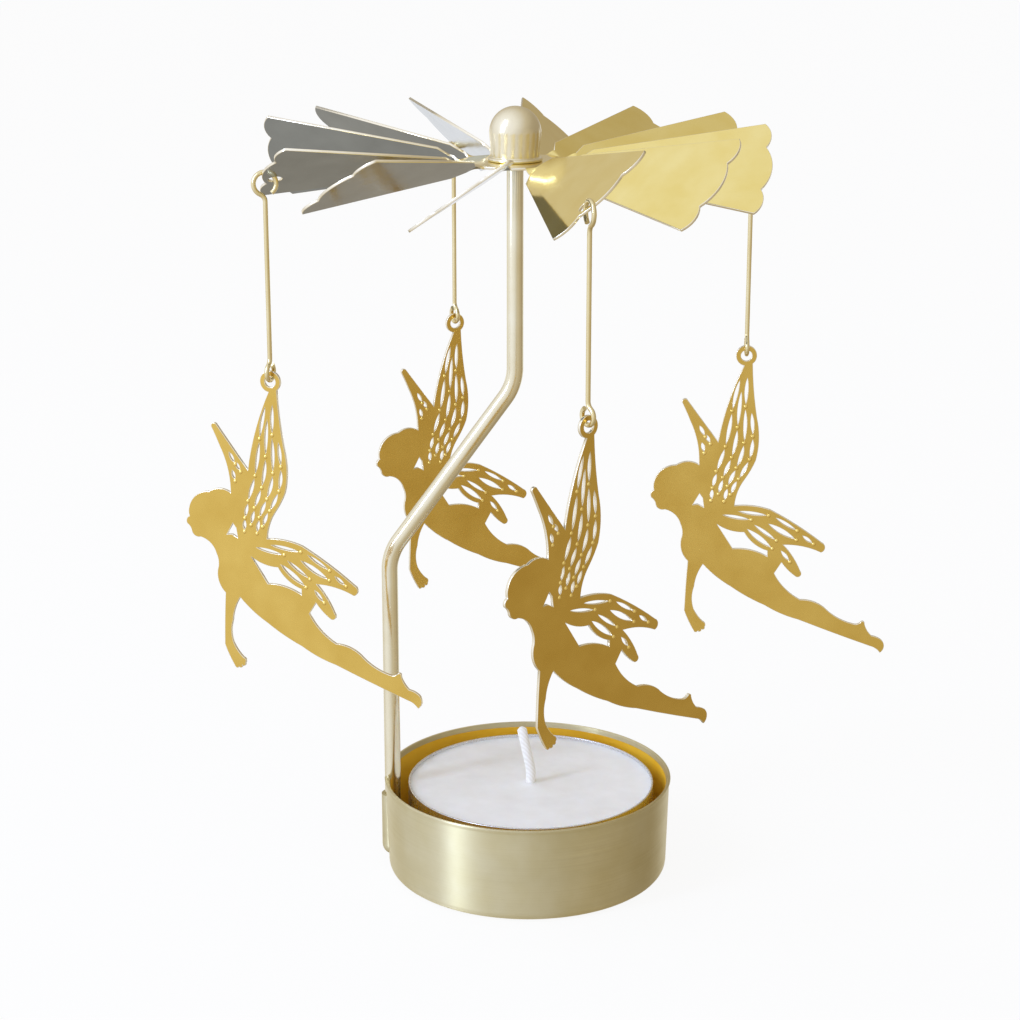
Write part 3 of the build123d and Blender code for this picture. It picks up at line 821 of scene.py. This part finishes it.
def hanger(name, index):
    """Bent wire: an eye through the vane, a straight run and an eye through the fairy."""
    node = "hanger_" + name
    centre = Vector(joints[node + "_swing"]["pos_m"]) / MM
    azimuth = radians(VANE_FIRST_AZIMUTH + index * 360 / VANE_COUNT)
    upper = eye_points(UPPER_EYE_RADIUS, Vector((cos(azimuth), sin(azimuth), 0)))
    square = sheet_axes("fairy_" + name)[1]
    flipped = [Vector((point.x, point.y, -point.z)) for point in eye_points(LOWER_EYE_RADIUS, square)]
    lower = [point - Vector((0, 0, HANGER_LENGTH)) for point in flipped[::-1]]
    path = [centre + point for point in upper + lower]
    shape = tube(path, [WIRE_DIA / 2] * len(path), WIRE_SIDES)
    piece(node + "_wire", as_mesh("wire", shape), node, node, [wire_gold])


def flat_loops(node, along, square, origin):
    """Outline and openings of a flat CAD sheet, as closed loops of points in its own plane."""
    mesh = frame["nodes"][node].data
    following = {}
    for face in mesh.polygons:
        if face.normal.dot(square) > SAME_WAY:
            corners = list(face.vertices)
            for first, second in zip(corners, corners[1:] + corners[:1]):
                following.setdefault(first, set()).add(second)
    border = {}
    for first, seconds in following.items():
        for second in seconds:
            if first not in following.get(second, ()):
                border[first] = second
    loops = []
    while border:
        start, step = border.popitem()
        loop = [start]
        while step != start:
            loop.append(step)
            step = border.pop(step)
        points = [(mesh.vertices[vertex].co / MM - origin) for vertex in loop]
        loops.append([(point.dot(along), point.z) for point in points])
    loops.sort(key=lambda loop: max(x for x, y in loop) - min(x for x, y in loop))
    return loops.pop(), loops


def lens_ends(loop):
    """The two ends of a slim opening with four corners, the lower one last, and its two sides."""
    corners = [Vector(point) for point in loop]
    if (corners[0] - corners[2]).length < (corners[1] - corners[3]).length:
        corners = corners[1:] + corners[:1]
    first, side, second, other = corners
    return (first, second, side, other) if first.y > second.y else (second, first, other, side)


def curved(loop):
    """Slim opening with its sides drawn as arcs."""
    top, bottom, side, other = lens_ends(loop)
    return arc(top, side, bottom) + arc(bottom, other, top)


def bead(centre):
    """Raised dot on the front of the sheet, sunk a little into it."""
    sphere_r = (BEAD_RADIUS**2 + BEAD_HEIGHT**2) / (2 * BEAD_HEIGHT)
    reach = atan2(BEAD_RADIUS, sphere_r - BEAD_HEIGHT)
    base = FAIRY_SHEET / 2 + BEAD_HEIGHT - sphere_r
    profile = []
    rings = 4
    for step in range(rings + 1):
        angle = reach * (1 - step / rings)
        profile.append((sphere_r * sin(angle), base + sphere_r * cos(angle)))
    sunk = FAIRY_SHEET / 2 - BEAD_GAP
    dome = lathe([(0, sunk), (BEAD_RADIUS, sunk)] + profile, centre, BEAD_SEGMENTS)
    for face in dome.faces:
        face.material_index = BEAD
        face.smooth = True
    return dome


def fairy(name):
    """Pierced sheet along its CAD node's outline, with cut edges painted paler as a highlight and a raised
    dot below each vein, painted brighter as a highlight.
    """
    node = "fairy_" + name
    eye = Vector(joints[node + "_swivel"]["pos_m"]) / MM
    along, square = sheet_axes(node)
    outline, openings = flat_loops(node, along, square, eye)
    veins = [loop for loop in openings if len(loop) == 4]
    gaps = [loop for loop in openings if len(loop) != 4]
    shapes = [plate(outline, gaps + [curved(loop) for loop in veins], FAIRY_SHEET)]
    for loop in veins:
        top, bottom, _, _ = lens_ends(loop)
        shapes.append(bead(bottom + (bottom - top).normalized() * (BEAD_RADIUS + BEAD_GAP)))
    shape = joined(shapes)
    up = Vector((0, 0, 1))
    turn = Matrix((along, up, square)).transposed().to_4x4()
    shape.transform(Matrix.Translation(eye) @ turn)
    # The cut edges and the dots take their painted highlights.
    materials = [fairy_gold, fairy_gold, edge_painted_highlight, bead_painted_highlight]
    piece(node + "_sheet", in_metres(node, shape), node, node, materials)


# Studio, with the camera and floor in millimetres, the lamp in metres and watts

PHOTO_SIZE = 1020
PHOTO_FOCAL = 2296.0
SENSOR_WIDTH = 36.0
CAMERA_AT = (-2.75, -335.0, 154.0)
CAMERA_PITCH = 16.0
NEAR_CLIP = 0.01
FLOOR_HALF = 4000.0
FLOOR_COLOUR = (0.86, 0.86, 0.86, 1)
FLOOR_GLOW = 0.9
LAMP_AT = (-0.55, -0.32, 0.42)
LAMP_AIM = (0, 0, 0.06)
LAMP_SIZE = (0.12, 0.6)
LAMP_POWER = 2.5
LAMP_COLOUR = (0.6, 0.73, 1.0)

# Light of the room from the side away from the window, 0, to the window, 1.
WINDOW_SIDE = Vector((-0.75, -0.45, 0.5)).normalized()
ROOM = (
    (0.0, (0.41, 0.35, 0.26)),
    (0.25, (0.47, 0.41, 0.31)),
    (0.5, (0.66, 0.61, 0.52)),
    (0.68, (0.82, 0.82, 0.86)),
    (0.85, (1.0, 1.03, 1.15)),
    (1.0, (1.04, 1.08, 1.28)),
)

# Faint glow low at the right, and the backdrop's reach in the reflections.
FILL_SIDE = Vector((0.84, -0.42, -0.34)).normalized()
FILL_REACH = (0.78, 0.97)
FILL_GAIN = 0.22
BACKDROP_SIDE = (0.4, 0.9)
BACKDROP_FOOT = (-0.5, -0.35)
BACKDROP_TOP = (0.05, -0.1)


def camera():
    """Camera at the photograph's place and angle."""
    lens = bpy.data.cameras.new("camera")
    lens.sensor_width = SENSOR_WIDTH
    lens.lens = PHOTO_FOCAL / PHOTO_SIZE * SENSOR_WIDTH
    lens.clip_start = NEAR_CLIP
    holder = linked("camera", lens)
    holder.location = Vector(CAMERA_AT) * MM
    holder.rotation_euler = (radians(90 - CAMERA_PITCH), 0, 0)
    scene.camera = holder


def lamp():
    """Tall narrow light at the window's side, turned to the object."""
    light = bpy.data.lights.new("key", "AREA")
    light.shape = "RECTANGLE"
    light.size, light.size_y = LAMP_SIZE
    light.energy = LAMP_POWER
    light.color = LAMP_COLOUR
    holder = linked("key", light)
    holder.location = LAMP_AT
    holder.rotation_euler = (Vector(LAMP_AIM) - Vector(LAMP_AT)).to_track_quat("-Z", "Y").to_euler()


def floor():
    """Pale floor: white to the camera, with the object's soft shadow; metal shows the pale room instead."""
    shape = bmesh.new()
    bmesh.ops.create_grid(shape, x_segments=1, y_segments=1, size=FLOOR_HALF)
    ground = linked("floor", as_mesh("floor", shape))
    material, shader, tree = new_material("floor_white")
    shader.inputs["Base Color"].default_value = FLOOR_COLOUR
    shader.inputs["Roughness"].default_value = 0.9
    shader.inputs["Specular IOR Level"].default_value = 0.0
    rays = add_node(tree, "ShaderNodeLightPath")
    glow = add_node(tree, "ShaderNodeEmission")
    glow.inputs["Strength"].default_value = 1.0
    share = calculated(tree, "MULTIPLY", rays.outputs["Is Camera Ray"], FLOOR_GLOW)
    blended(tree, share, shader.outputs["BSDF"], glow.outputs["Emission"], "Material Output")
    ground.data.materials.append(material)
    ground.visible_glossy = False


def facing(tree, direction, side):
    """How far a direction points to a side, from -1 to 1."""
    node = add_node(tree, "ShaderNodeVectorMath", operation="DOT_PRODUCT")
    node.inputs[1].default_value = side
    tree.links.new(direction, node.inputs[0])
    return node.outputs["Value"]


def world():
    """White backdrop, also in metal that faces it, and a pale room with a cool window and a faint fill."""
    room = bpy.data.worlds.new("studio")
    room.use_nodes = True
    scene.world = room
    tree = room.node_tree
    direction = add_node(tree, "ShaderNodeTexCoord").outputs["Generated"]
    nearness = calculated(tree, "MULTIPLY_ADD", facing(tree, direction, WINDOW_SIDE), 0.5, 0.5)
    studio = tree.nodes["Background"]
    tree.links.new(ramp(tree, nearness, ROOM), studio.inputs["Color"])
    fill = faded(tree, facing(tree, direction, FILL_SIDE), *FILL_REACH)
    tree.links.new(calculated(tree, "MULTIPLY_ADD", fill, FILL_GAIN, 1.0), studio.inputs["Strength"])
    white = add_node(tree, "ShaderNodeBackground")
    white.inputs["Color"].default_value = (1, 1, 1, 1)
    rays = add_node(tree, "ShaderNodeLightPath")
    axes = add_node(tree, "ShaderNodeSeparateXYZ")
    tree.links.new(direction, axes.inputs["Vector"])
    behind = faded(tree, axes.outputs["Y"], *BACKDROP_SIDE)
    above = faded(tree, axes.outputs["Z"], *BACKDROP_FOOT)
    below = faded(tree, axes.outputs["Z"], *BACKDROP_TOP)
    backdrop = calculated(tree, "MULTIPLY", behind, calculated(tree, "MULTIPLY", above, below))
    mirrored = calculated(tree, "MULTIPLY", rays.outputs["Is Glossy Ray"], backdrop)
    kinds = (rays.outputs["Is Camera Ray"], rays.outputs["Is Transmission Ray"])
    direct = calculated(tree, "MAXIMUM", *kinds)
    share = calculated(tree, "MAXIMUM", direct, mirrored)
    blended(tree, share, studio.outputs["Background"], white.outputs["Background"], "World Output")


candle_cup()
stand_rod()
tealight_cup()
tealight_wax()
wick()
wick_sustainer()
vane_wheel()
hub_cap()
for place, name in enumerate(FAIRY_NAMES):
    hanger(name, place * HANG_EVERY)
    fairy(name)
floor()
world()
camera()
lamp()
scene.view_settings.view_transform = "Standard"
